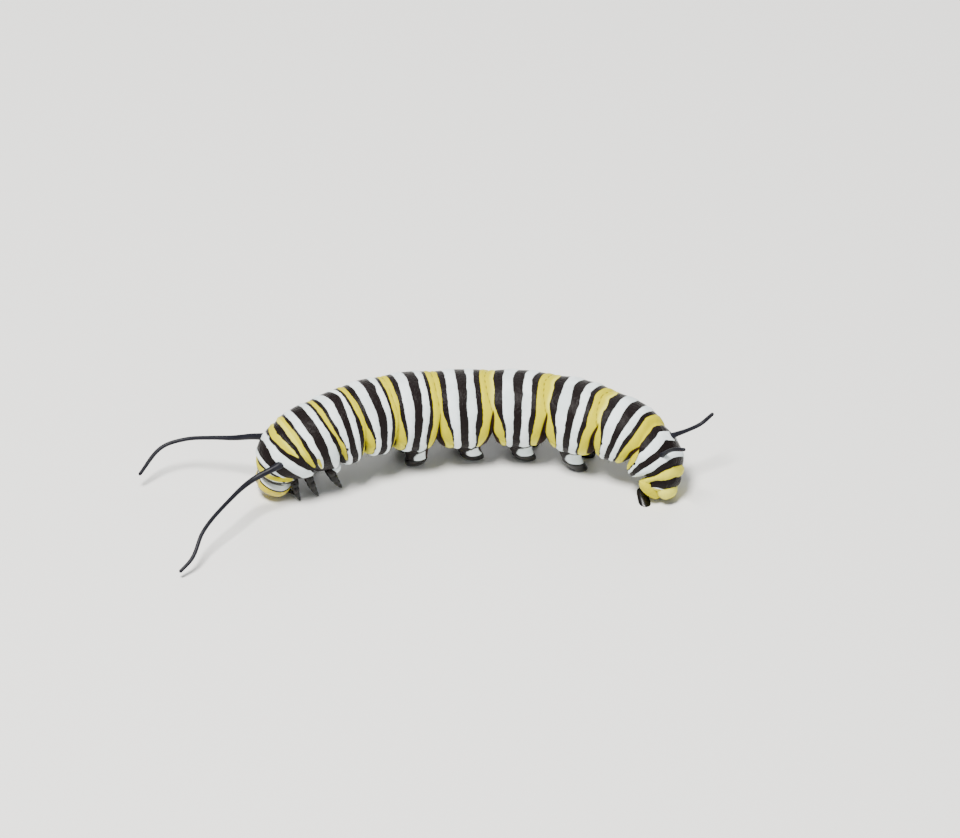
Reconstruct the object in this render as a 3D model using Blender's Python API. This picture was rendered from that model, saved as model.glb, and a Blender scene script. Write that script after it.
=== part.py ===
"""Monarch butterfly larva in its fifth instar, life size, walking along with its head tucked down.

The body is one bent tube of thirteen segments behind the head: three of the thorax and ten of the abdomen.
A line through the middle of the body, given at the joints between the segments, carries every piece.
The head is at -X, the tail at +X, the larva's left side faces -Y, and the feet stand at Z = 0.
"""

import math

import bmesh
import bpy
from mathutils import Matrix, Vector

# Driving sizes, in millimetres.
MM = 0.001
GAP = 0.3
ORIGIN = (-4.11, -7.20)

# Middle of the body at each joint, from the middle of the head to the tip of the tail.
JOINTS = (
    (-18.41, -5.80, 1.65),
    (-18.06, -6.00, 2.66),
    (-17.72, -6.02, 3.58),
    (-16.07, -5.25, 4.95),
    (-13.22, -3.70, 5.35),
    (-10.89, -2.34, 5.60),
    (-7.57, -0.98, 5.45),
    (-3.18, 0.10, 5.10),
    (1.68, 0.60, 4.90),
    (6.87, 0.15, 5.05),
    (11.87, -1.85, 5.20),
    (15.70, -3.78, 4.65),
    (17.38, -5.35, 3.10),
    (17.85, -6.20, 2.15),
    (17.94, -6.80, 1.05),
)
SEGMENTS = ("thorax_1", "thorax_2", "thorax_3") + tuple(f"abdomen_{i}" for i in range(1, 11))
FOLD_RADII = (2.00, 2.35, 3.15, 3.55, 3.48, 3.60, 3.66, 3.60, 3.42, 3.26, 2.66, 2.28, 1.95, 0.55)
MIDDLE_RADII = (2.20, 2.98, 3.45, 3.62, 3.72, 3.86, 3.82, 3.72, 3.60, 3.18, 2.76, 2.20, 1.80)

RING_POINTS = 28
RINGS_PER_SEGMENT = 7
FRAME_STEPS = 24
MIDDLE_JOINT = 8
BELLY_FLATNESS = (0.84, 0.84, 0.89) + (0.93,) * 8 + (0.90, 0.90)
CLEFT_DEPTH = 0.28
FOLD_ANGLE = math.radians(118)
FOLD_SPREAD = math.radians(16)
FOLD_SIZE = 0.045

HEAD_HALF_WIDTH = 1.80
HEAD_HALF_HEIGHT = 1.82
HEAD_HALF_DEPTH = 1.22
HEAD_DROP = 0.25
MOUTH_LEVEL = -1.42
ANTENNA_LENGTH = 0.62

# Legs of the thorax, from the first pair to the third.
LEG_PLACES = (0.32, 0.50, 0.56)
LEG_ROOT_ANGLES = (141, 151, 152)
LEG_ROOT_LENGTHS = (0.24, 0.42, 0.52)
LEG_ROOT_HALF_WIDTH = 0.48
LEG_LEANS = (0.10, 0.70, 1.15)
LEG_SPREADS = (0.35, 0.30, 0.15)
LEG_TIP_RADIUS = 0.15
LEG_POINTS = 10

PROLEG_ROOT_ANGLE = math.radians(152)
PROLEG_ROOT = (1.15, 0.92)
PROLEG_SOLE = (0.82, 0.54)
PROLEG_SPREAD = 1.05
PROLEG_LEAN = (-0.25, 0.62, 0.68, 0.68)
PROLEG_POINTS = 16
ANAL_LEAN = Vector((0.60, -1.05, 0.0))

# Each filament: name, segment, place along it, angle from the back, radius at the base, and bends to the tip.
FILAMENTS = (
    ("front_filament_left", 1, 0.26, 47, 0.32,
     ((-20.2, -9.6, 4.4), (-22.3, -12.2, 4.0), (-24.6, -15.4, 2.9), (-25.6, -17.6, 1.5), (-26.7, -18.6, 0.75))),
    ("front_filament_right", 1, 0.32, -44, 0.32,
     ((-22.2, -3.6, 4.7), (-24.1, -3.2, 4.4), (-26.6, -2.8, 3.9), (-28.7, -3.3, 3.4), (-30.9, -5.2, 1.5))),
    ("rear_filament_left", 10, 0.76, 29, 0.28, ((18.6, -7.7, 6.3), (19.9, -8.8, 7.4))),
    ("rear_filament_right", 10, 0.62, -33, 0.28, ((20.4, -3.5, 5.6), (21.5, -2.9, 5.8), (22.7, -2.4, 6.7))),
)
FILAMENT_SHAFT_RADIUS = 0.25
FILAMENT_TIP_RADIUS = 0.17


def smooth(t):
    """Eases from 0 to 1 while t goes from 0 to 1."""
    t = min(max(t, 0.0), 1.0)
    return t * t * (3 - 2 * t)


def line_tangents(points):
    """Direction of a smooth line at each of its points, the nearer neighbour counting more."""
    tangents = [points[1] - points[0]]
    for before, here, after in zip(points, points[1:], points[2:]):
        back = (here - before).length
        ahead = (after - here).length
        way_in = (here - before) / back
        way_out = (after - here) / ahead
        tangents.append(way_in * math.sqrt(ahead) + way_out * math.sqrt(back))
    tangents.append(points[-1] - points[-2])
    return [t.normalized() for t in tangents]


def line_point(points, tangents, span, u):
    """Point on a smooth line, a share u of the way along one of its spans."""
    start = points[span]
    end = points[span + 1]
    length = (end - start).length
    leave = tangents[span] * length
    arrive = tangents[span + 1] * length
    return (
        start * (2 * u**3 - 3 * u**2 + 1)
        + leave * (u**3 - 2 * u**2 + u)
        + end * (3 * u**2 - 2 * u**3)
        + arrive * (u**3 - u**2)
    )


def body_frames():
    """Frames along the body: point, direction to the tail, up (the back) and left, carried without twist."""
    joints = [Vector(p) for p in JOINTS]
    tangents = line_tangents(joints)
    count = (len(JOINTS) - 1) * FRAME_STEPS
    line = []
    for i in range(count + 1):
        span = min(i // FRAME_STEPS, len(JOINTS) - 2)
        u = i / FRAME_STEPS - span
        square = tangents[span].lerp(tangents[span + 1], u).normalized()
        line.append((line_point(joints, tangents, span, u), square))
    middle = MIDDLE_JOINT * FRAME_STEPS
    ups = [None] * (count + 1)
    up = Vector((0, 0, 1))
    for i in range(middle, count + 1):
        up = (up - line[i][1] * up.dot(line[i][1])).normalized()
        ups[i] = up
    up = ups[middle]
    for i in range(middle, -1, -1):
        up = (up - line[i][1] * up.dot(line[i][1])).normalized()
        ups[i] = up
    return [(p, t, u, t.cross(u)) for (p, t), u in zip(line, ups)]


FRAMES = body_frames()


def frame_at(segment, u):
    """Frame inside a segment, a share u of the way from its front joint to its rear joint."""
    place = (segment + 1 + u) * FRAME_STEPS
    low = min(int(place), len(FRAMES) - 2)
    part = place - low
    return [a.lerp(b, part) for a, b in zip(FRAMES[low], FRAMES[low + 1])]


def segment_radius(segment, u):
    """Radius of a segment at u: narrow at its two folds and full in between, or closing at the tail's tip."""
    front = FOLD_RADII[segment]
    back = FOLD_RADII[segment + 1]
    if segment == len(SEGMENTS) - 1:
        return back + (front - back) * math.sqrt(max(0.0, 1 - u**2.2))
    edge = front + (back - front) * u
    swell = MIDDLE_RADII[segment] - (front + back) / 2
    return edge + swell * (1 - abs(2 * u - 1) ** 2.6)


def body_point(segment, u, angle, lift=0.0):
    """Point on a segment's surface, or lift above it, with angle 0 on the back and positive on the left."""
    point, _, up, left = frame_at(segment, u)
    radius = segment_radius(segment, u)
    underside = max(0.0, -math.cos(angle))
    edge = abs(2 * u - 1) ** 4
    fold = math.exp(-(((abs(angle) - FOLD_ANGLE) / FOLD_SPREAD) ** 2))
    length_share = 1.0 if 3 <= segment <= 10 else 0.3
    radius *= 1 + FOLD_SIZE * fold * (1 - edge) * length_share
    radius -= CLEFT_DEPTH * smooth((abs(angle) - 1.2) / 1.2) * edge * length_share
    radius += lift
    flat = 1 - (1 - BELLY_FLATNESS[segment]) * underside
    return point + up * math.cos(angle) * radius * flat + left * math.sin(angle) * radius


def material(name, colour, roughness):
    """One plain material, in linear colour."""
    made = bpy.data.materials.new(name)
    made.use_nodes = True
    shader = made.node_tree.nodes["Principled BSDF"]
    shader.inputs["Base Color"].default_value = (*colour, 1.0)
    shader.inputs["Roughness"].default_value = roughness
    shader.inputs["Metallic"].default_value = 0.0
    return made


def finish(name, bm, skin):
    """Makes a closed body from a bmesh in millimetres, with its faces pointing out, set on the origin."""
    shift = Matrix.Translation((-ORIGIN[0], -ORIGIN[1], 0))
    bmesh.ops.transform(bm, matrix=Matrix.Scale(MM, 4) @ shift, verts=bm.verts)
    bmesh.ops.recalc_face_normals(bm, faces=bm.faces)
    mesh = bpy.data.meshes.new(name)
    bm.to_mesh(mesh)
    bm.free()
    mesh.shade_smooth()
    mesh.set_sharp_from_angle(angle=math.radians(40))
    mesh.materials.append(skin)
    made = bpy.data.objects.new(name, mesh)
    LARVA.objects.link(made)
    return made


def loft(name, rings, skin, root=None):
    """Closed skin through rings of points, with a flat end, or a fan to a root point at the first ring."""
    bm = bmesh.new()
    rows = [[bm.verts.new(p) for p in ring] for ring in rings]
    count = len(rows[0])
    for row, following in zip(rows, rows[1:]):
        for i in range(count):
            j = (i + 1) % count
            bm.faces.new((row[i], row[j], following[j], following[i]))
    bm.faces.new(rows[-1])
    if root is None:
        bm.faces.new(list(reversed(rows[0])))
    else:
        middle = bm.verts.new(root)
        for i in range(count):
            bm.faces.new((rows[0][(i + 1) % count], rows[0][i], middle))
    return finish(name, bm, skin)


def make_segment(segment, skin):
    """One segment of the body, cut square to the middle line at both of its joints."""
    length = (Vector(JOINTS[segment + 2]) - Vector(JOINTS[segment + 1])).length
    margin = GAP / 2 / length
    last = 1.0 if segment == len(SEGMENTS) - 1 else 1 - margin
    rings = []
    for k in range(RINGS_PER_SEGMENT + 1):
        share = 0.5 - 0.5 * math.cos(math.pi * k / RINGS_PER_SEGMENT)
        u = margin + (last - margin) * (0.35 * k / RINGS_PER_SEGMENT + 0.65 * share)
        angles = [2 * math.pi * i / RING_POINTS for i in range(RING_POINTS)]
        rings.append([body_point(segment, u, (a + math.pi) % (2 * math.pi) - math.pi) for a in angles])
    return loft(SEGMENTS[segment], rings, skin)


def head_frame():
    """Middle of the head, and its directions forward (out of the face), up to the crown and left."""
    neck, tangent, up, left = FRAMES[FRAME_STEPS]
    forward = -tangent
    middle = neck + forward * (HEAD_HALF_DEPTH + GAP / 2 - 0.12) - up * HEAD_DROP
    return middle, forward, up, left


def head_point(middle, forward, crown, left, f, c, s):
    """Point given by its way forward, towards the crown and to the left, in the head's own frame."""
    return middle + forward * f + crown * c + left * s


def make_head(skin):
    """Head capsule: two rounded lobes with a seam between them, a flat neck and a flat at the mouth."""
    middle, forward, crown, left = head_frame()
    neck = FRAMES[FRAME_STEPS][0]
    bm = bmesh.new()
    bmesh.ops.create_uvsphere(bm, u_segments=32, v_segments=18, radius=1.0)
    for vert in bm.verts:
        s, c, f = vert.co
        around = math.atan2(s, c)
        seam = math.exp(-((around / 0.20) ** 2)) * math.sqrt(max(0.0, 1 - f * f))
        cheeks = 1 + 0.04 * math.sin(around) ** 2
        size = cheeks * (1 - 0.07 * seam)
        c_size = HEAD_HALF_HEIGHT * c * size * (1 - 0.08 * max(0.0, -c))
        s_size = HEAD_HALF_WIDTH * s * size * (1 - 0.16 * max(0.0, -c))
        f_size = HEAD_HALF_DEPTH * f * (1 + 0.06 * c)
        c_size = max(c_size, MOUTH_LEVEL + 0.0005 * c)
        point = head_point(middle, forward, crown, left, f_size, c_size, s_size)
        behind = (point - neck).dot(forward) - GAP / 2
        if behind < 0:
            point -= forward * behind
        vert.co = point
    return finish("head", bm, skin)


def blob(name, at, half, skin, square=0.75):
    """Small rounded piece of the head, its middle and half sizes given forward, to the crown and left."""
    middle, forward, crown, left = head_frame()
    bm = bmesh.new()
    bmesh.ops.create_uvsphere(bm, u_segments=12, v_segments=8, radius=1.0)
    for vert in bm.verts:
        s, c, f = [math.copysign(abs(x) ** square, x) for x in vert.co]
        vert.co = head_point(
            middle, forward, crown, left, at[0] + half[0] * f, at[1] + half[1] * c, at[2] + half[2] * s
        )
    return finish(name, bm, skin)


def tapered_tube(name, points, radii, skin, resolution=2):
    """Round tube along a smooth line, its radius given at every point, with flat ends."""
    curve = bpy.data.curves.new(name + "_line", "CURVE")
    curve.dimensions = "3D"
    curve.bevel_depth = MM
    curve.bevel_resolution = resolution
    curve.use_fill_caps = True
    spline = curve.splines.new("POLY")
    spline.points.add(len(points) - 1)
    for target, point, radius in zip(spline.points, points, radii):
        x, y, z = (point - Vector((*ORIGIN, 0))) * MM
        target.co = (x, y, z, 1)
        target.radius = radius
    made = bpy.data.objects.new(name, curve)
    curve.materials.append(skin)
    LARVA.objects.link(made)
    return made


def even_points(knots, leaving, count):
    """Points at even distances on a smooth line through the knots, which leaves the first in a given direction."""
    tangents = line_tangents(knots)
    tangents[0] = leaving
    fine = []
    for span in range(len(knots) - 1):
        fine += [line_point(knots, tangents, span, i / FRAME_STEPS) for i in range(FRAME_STEPS)]
    fine.append(knots[-1])
    reached = [0.0]
    for a, b in zip(fine, fine[1:]):
        reached.append(reached[-1] + (b - a).length)
    points = []
    k = 0
    for i in range(count):
        wanted = reached[-1] * i / (count - 1)
        while k < len(fine) - 2 and reached[k + 1] < wanted:
            k += 1
        points.append(fine[k].lerp(fine[k + 1], (wanted - reached[k]) / (reached[k + 1] - reached[k])))
    return points


def make_antenna(side, word, skin):
    """Short, thick antenna beside the mouth."""
    middle, forward, crown, left = head_frame()
    root = head_point(middle, forward, crown, left, 0.25, -1.36, side * 1.16)
    away = (left * side * 0.80 - crown * 0.60).normalized()
    points = [root + away * (ANTENNA_LENGTH * i / 4) for i in range(5)]
    tapered_tube(f"antenna_{word}", points, (0.25, 0.24, 0.21, 0.17, 0.11), skin)


def surface_loop(segment, u, angle, half_length, half_width, count):
    """Closed loop of points on the body, with the gap, round a root at u and angle."""
    span = (Vector(JOINTS[segment + 2]) - Vector(JOINTS[segment + 1])).length
    radius = segment_radius(segment, u)
    loop = []
    for i in range(count):
        turn = 2 * math.pi * i / count
        along = u + math.cos(turn) * half_length / span
        around = angle + math.copysign(1, angle) * math.sin(turn) * half_width / radius
        loop.append(body_point(segment, along, around, GAP))
    return loop


def make_limb(name, root, loop, sole_middle, sole_half, bow, widths, skin):
    """Leg from a loop on the body to a flat sole on the ground, bowed out by a vector on the way."""
    count = len(loop)
    root_middle = sum(loop, Vector()) / count
    heading = (loop[0] - root_middle) * Vector((1, 1, 0))
    heading.normalize()
    across = (loop[count // 4] - root_middle) * Vector((1, 1, 0))
    across = (across - heading * across.dot(heading)).normalized()
    rings = []
    for step, width in enumerate(widths):
        t = step / (len(widths) - 1)
        middle = root_middle.lerp(sole_middle, t) + bow * (4 * t * (1 - t))
        ring = []
        for i in range(count):
            turn = 2 * math.pi * i / count
            flat = heading * math.cos(turn) * sole_half[0] + across * math.sin(turn) * sole_half[1]
            ring.append(middle + (loop[i] - root_middle).lerp(flat, smooth(t)) * width)
        rings.append(ring)
    return loft(name, rings, skin, root)


def make_leg(number, side, word, skin):
    """Jointed leg of the thorax, ending in a claw that stands on a small flat."""
    segment = number - 1
    u = LEG_PLACES[segment]
    angle = side * math.radians(LEG_ROOT_ANGLES[segment])
    root = body_point(segment, u, angle, GAP)
    loop = surface_loop(segment, u, angle, LEG_ROOT_LENGTHS[segment], LEG_ROOT_HALF_WIDTH, LEG_POINTS)
    _, tangent, _, left = frame_at(segment, u)
    level = Vector((tangent.x, tangent.y, 0)).normalized()
    out = Vector((left.x, left.y, 0)).normalized() * side
    tip = root + level * LEG_LEANS[segment] + out * LEG_SPREADS[segment]
    tip.z = 0.0
    bow = level * -0.12 + out * 0.22
    widths = (1.0, 1.06, 0.92, 1.0, 0.86, 0.92, 0.86, 1.0)
    make_limb(f"leg_{number}_{word}", root, loop, tip, (LEG_TIP_RADIUS,) * 2, bow, widths, skin)


def make_proleg(number, side, word, skin):
    """Fleshy proleg of the abdomen: a short cone that ends in a flat oval foot."""
    segment = number + 2
    u = (0.54, 0.60, 0.60, 0.60)[number - 3]
    angle = side * PROLEG_ROOT_ANGLE
    root = body_point(segment, u, angle, GAP)
    loop = surface_loop(segment, u, angle, *PROLEG_ROOT, PROLEG_POINTS)
    point, tangent, _, left = frame_at(segment, u)
    out = Vector((left.x, left.y, 0)).normalized() * side
    lean = Vector((tangent.x, tangent.y, 0)).normalized() * PROLEG_LEAN[number - 3]
    sole = point + out * PROLEG_SPREAD + lean
    sole.z = 0.0
    widths = (1.0, 0.98, 0.93, 0.90, 0.98, 1.04, 1.0)
    make_limb(f"proleg_{number}_{word}", root, loop, sole, PROLEG_SOLE, out * 0.22, widths, skin)


def make_anal_proleg(side, word, skin):
    """Last pair of feet, under the tip of the tail."""
    segment = len(SEGMENTS) - 1
    u = 0.42
    angle = side * math.radians(146)
    root = body_point(segment, u, angle, GAP)
    loop = surface_loop(segment, u, angle, 0.46, 0.66, PROLEG_POINTS)
    _, _, _, left = frame_at(segment, u)
    out = Vector((left.x, left.y, 0)).normalized() * side
    sole = root + out * 0.35 + ANAL_LEAN
    sole.z = 0.0
    widths = (1.0, 1.06, 1.04, 1.0)
    make_limb(f"anal_proleg_{word}", root, loop, sole, (0.60, 0.50), out * 0.1, widths, skin)


def make_filament(name, segment, u, angle, knots, base, skin):
    """Fleshy filament that grows from the back of a segment and tapers to a blunt tip."""
    root = body_point(segment, u, angle, GAP)
    out = (root - frame_at(segment, u)[0]).normalized()
    knots = [root] + [Vector(k) for k in knots]
    leaving = (out * 0.7 + (knots[1] - root).normalized()).normalized()
    points = even_points(knots, leaving, 19)
    radii = []
    for i in range(len(points)):
        t = i / (len(points) - 1)
        shaft = base + (FILAMENT_SHAFT_RADIUS - base) * smooth(t / 0.45)
        radii.append(shaft + (FILAMENT_TIP_RADIUS - FILAMENT_SHAFT_RADIUS) * smooth((t - 0.75) / 0.25))
    tapered_tube(name, points, radii, skin)


def build():
    """Makes every piece of the larva."""
    flesh = material("banded_skin", (0.72, 0.70, 0.52), 0.42)
    shell = material("head_shell", (0.70, 0.60, 0.12), 0.32)
    horn = material("black_shell", (0.02, 0.018, 0.02), 0.25)
    velvet = material("filament_skin", (0.02, 0.02, 0.024), 0.45)

    make_head(shell)
    blob("labrum", (0.62, -1.83, 0.0), (0.24, 0.20, 0.50), horn)
    for side, word in ((1, "left"), (-1, "right")):
        blob(f"mandible_{word}", (0.10, -1.92, side * 0.36), (0.28, 0.28, 0.24), horn)
        make_antenna(side, word, horn)

    for segment in range(len(SEGMENTS)):
        make_segment(segment, flesh)

    for side, word in ((1, "left"), (-1, "right")):
        for number in (1, 2, 3):
            make_leg(number, side, word, horn)
        for number in (3, 4, 5, 6):
            make_proleg(number, side, word, flesh)
        make_anal_proleg(side, word, horn)

    for word, segment, u, degrees, base, knots in FILAMENTS:
        make_filament(word, segment, u, math.radians(degrees), knots, base, velvet)


for old in list(bpy.data.objects):
    bpy.data.objects.remove(old)
LARVA = bpy.data.collections.new("monarch_larva")
bpy.context.scene.collection.children.link(LARVA)
build()
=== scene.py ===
"""Life-size monarch butterfly larva on a pale floor, built round its solids and seen from its left side."""
import math

import bmesh
import bpy
import numpy as np
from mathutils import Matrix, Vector


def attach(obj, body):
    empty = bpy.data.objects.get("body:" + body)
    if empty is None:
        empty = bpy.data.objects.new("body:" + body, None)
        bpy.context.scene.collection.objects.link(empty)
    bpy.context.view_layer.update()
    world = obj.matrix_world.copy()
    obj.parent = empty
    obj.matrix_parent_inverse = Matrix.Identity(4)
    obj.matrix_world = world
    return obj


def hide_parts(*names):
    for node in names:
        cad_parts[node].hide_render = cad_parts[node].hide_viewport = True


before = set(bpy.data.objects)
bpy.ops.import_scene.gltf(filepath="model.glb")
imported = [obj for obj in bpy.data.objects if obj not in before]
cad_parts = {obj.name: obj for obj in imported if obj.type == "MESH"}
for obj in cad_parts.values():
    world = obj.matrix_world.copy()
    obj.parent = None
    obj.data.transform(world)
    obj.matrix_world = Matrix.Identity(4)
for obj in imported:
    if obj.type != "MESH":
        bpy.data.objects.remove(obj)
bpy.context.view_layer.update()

# Skin. The thorax and abdomen are one soft tube of moist skin without a seam, banded in white, black and
# yellow. Its joints are folds, its sides end in rounded lobes, and four pairs of fleshy prolegs grow from it.
MM = 0.001
TO_ORIGIN = (4.11, 7.20, 0.0)
# Middle of the body in millimetres: a point before the neck, the neck, each joint between segments and the
# tip of the tail. Below are the radii at the joints and in the middle of the segments.
JOINTS = np.array((
    (-18.41, -5.80, 1.65),
    (-18.06, -6.00, 2.66),
    (-17.72, -6.02, 3.58),
    (-16.07, -5.25, 4.95),
    (-13.22, -3.70, 5.35),
    (-10.89, -2.34, 5.60),
    (-7.57, -0.98, 5.45),
    (-3.18, 0.10, 5.10),
    (1.68, 0.60, 4.90),
    (6.87, 0.15, 5.05),
    (11.87, -1.85, 5.20),
    (15.70, -3.78, 4.65),
    (17.38, -5.35, 3.10),
    (17.85, -6.20, 2.15),
    (17.94, -6.80, 1.05),
)) + TO_ORIGIN
FOLD_RADII = np.array((2.00, 2.35, 3.15, 3.55, 3.48, 3.60, 3.66, 3.60, 3.42, 3.26, 2.66, 2.28, 1.95, 0.55))
MIDDLE_RADII = np.array((2.20, 2.98, 3.45, 3.62, 3.72, 3.86, 3.82, 3.72, 3.60, 3.18, 2.76, 2.20, 1.80))
BELLY_FLATNESS = np.array((0.84, 0.84, 0.89) + (0.93,) * 8 + (0.90, 0.90))
LINE_STEPS = 24
TAIL_TIP = 13.0


def line_tangents(points):
    """Directions of a smooth line at its points, the nearer neighbour counting more."""
    steps = np.diff(points, axis=0)
    lengths = np.linalg.norm(steps, axis=1)[:, None]
    ways = steps / lengths
    inner = ways[:-1] * np.sqrt(lengths[1:]) + ways[1:] * np.sqrt(lengths[:-1])
    tangents = np.vstack((ways[:1], inner, ways[-1:]))
    return tangents / np.linalg.norm(tangents, axis=1)[:, None]


def smooth_line(points, tangents, places):
    """Points of a smooth line at places counted in spans from its first point."""
    span = np.clip(places.astype(int), 0, len(points) - 2)
    u = (places - span)[:, None]
    start, end = points[span], points[span + 1]
    length = np.linalg.norm(end - start, axis=1)[:, None]
    return (start * (2 * u**3 - 3 * u**2 + 1) + end * (3 * u**2 - 2 * u**3)
            + tangents[span] * length * (u**3 - 2 * u**2 + u) + tangents[span + 1] * length * (u**3 - u**2))


def body_line():
    """Middle line with its directions to the tail, to the back and to the left, carried without twist."""
    tangents = line_tangents(JOINTS)
    places = np.arange((len(JOINTS) - 1) * LINE_STEPS + 1) / LINE_STEPS
    span = np.clip(places.astype(int), 0, len(JOINTS) - 2)
    u = (places - span)[:, None]
    ways = tangents[span] * (1 - u) + tangents[span + 1] * u
    ways /= np.linalg.norm(ways, axis=1)[:, None]
    ups = np.zeros_like(ways)
    middle = 8 * LINE_STEPS
    for order in (range(middle, len(ways)), range(middle, -1, -1)):
        up = np.array((0.0, 0.0, 1.0))
        for i in order:
            up = up - ways[i] * (up @ ways[i])
            up /= np.linalg.norm(up)
            ups[i] = up
    return places - 1, np.hstack((smooth_line(JOINTS, tangents, places), ways, ups, np.cross(ways, ups)))


LINE_PLACES, LINE_FRAMES = body_line()


def frame_at(s):
    """Point, way to the tail, up and left at places along the body: 0 the neck, 13 the tip of the tail."""
    s = np.asarray(s, dtype=float)
    columns = [np.interp(s, LINE_PLACES, LINE_FRAMES[:, k]) for k in range(12)]
    return [np.stack(columns[k:k + 3], axis=-1) for k in (0, 3, 6, 9)]


def axes_at(s):
    """The same at one place."""
    return [v[0] for v in frame_at(np.array([s]))]


def smooth(t):
    """Eases from 0 to 1 while t goes from 0 to 1."""
    t = np.clip(t, 0.0, 1.0)
    return t * t * (3 - 2 * t)


def skin_radius(w, a):
    """Radius of the skin at places counted from fold to fold and at angles from the back."""
    segment = np.clip(w.astype(int), 0, 12)
    u = np.clip(w - segment, 0, 1)
    front, back = FOLD_RADII[segment], FOLD_RADII[segment + 1]
    swell = MIDDLE_RADII[segment] - (front + back) / 2
    radius = front + (back - front) * u + swell * (1 - np.abs(2 * u - 1) ** 2.6)
    tail = back + (front - back) * np.sqrt(np.maximum(0.0, 1 - u**2.2))
    radius = np.where(segment == 12, tail, radius)
    share = np.where((segment > 2) & (segment < 11), 1.0, 0.3)
    edge = np.abs(2 * u - 1) ** 4
    ridge = np.exp(-(((np.abs(a) - math.radians(118)) / math.radians(16)) ** 2))
    radius = radius * (1 + 0.045 * ridge * (1 - edge) * share)
    return radius - 0.28 * smooth((np.abs(a) - 1.2) / 1.2) * edge * share


def skin_point_at(s, w, a, lift):
    """Points of the skin in millimetres, lifted off it, with angle 0 on the back and positive on the left."""
    point, _, up, left = frame_at(s)
    flatness = BELLY_FLATNESS[np.clip(w.astype(int), 0, 12)]
    flat = 1 - (1 - flatness) * np.maximum(0.0, -np.cos(a))
    radius = skin_radius(w, a) + lift
    return point + up * (np.cos(a) * radius * flat)[..., None] + left * (np.sin(a) * radius)[..., None]


def plain_spot(place, degrees, lift):
    """One such point, at a place along the body and at degrees from the back."""
    s, a = np.array([place]), np.array([math.radians(degrees)])
    return skin_point_at(s, s, a, lift)[0]


# Folds between the segments: how far each lies along the body, at these angles from the back.
FOLD_ANGLES = np.radians((0, 30, 60, 90, 110))
FOLD_PLACES = np.array((
    (0.00, 0.00, 0.00, 0.00, 0.00),
    (0.84, 0.86, 0.90, 0.98, 1.00),
    (1.86, 1.86, 1.87, 1.90, 2.00),
    (2.84, 2.84, 2.88, 2.91, 2.93),
    (3.93, 3.97, 3.98, 3.92, 3.95),
    (4.89, 4.91, 4.98, 4.93, 4.92),
    (5.89, 5.91, 5.95, 5.93, 5.94),
    (6.92, 6.98, 7.09, 7.07, 7.08),
    (8.03, 8.09, 8.20, 8.16, 8.16),
    (9.05, 9.10, 9.23, 9.20, 9.21),
    (10.10, 10.18, 10.32, 10.29, 10.28),
    (11.55, 11.60, 11.72, 11.70, 11.66),
    (12.16, 12.22, 12.14, 12.38, 12.46),
    (13.00, 13.00, 13.00, 13.00, 13.00),
))

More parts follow.
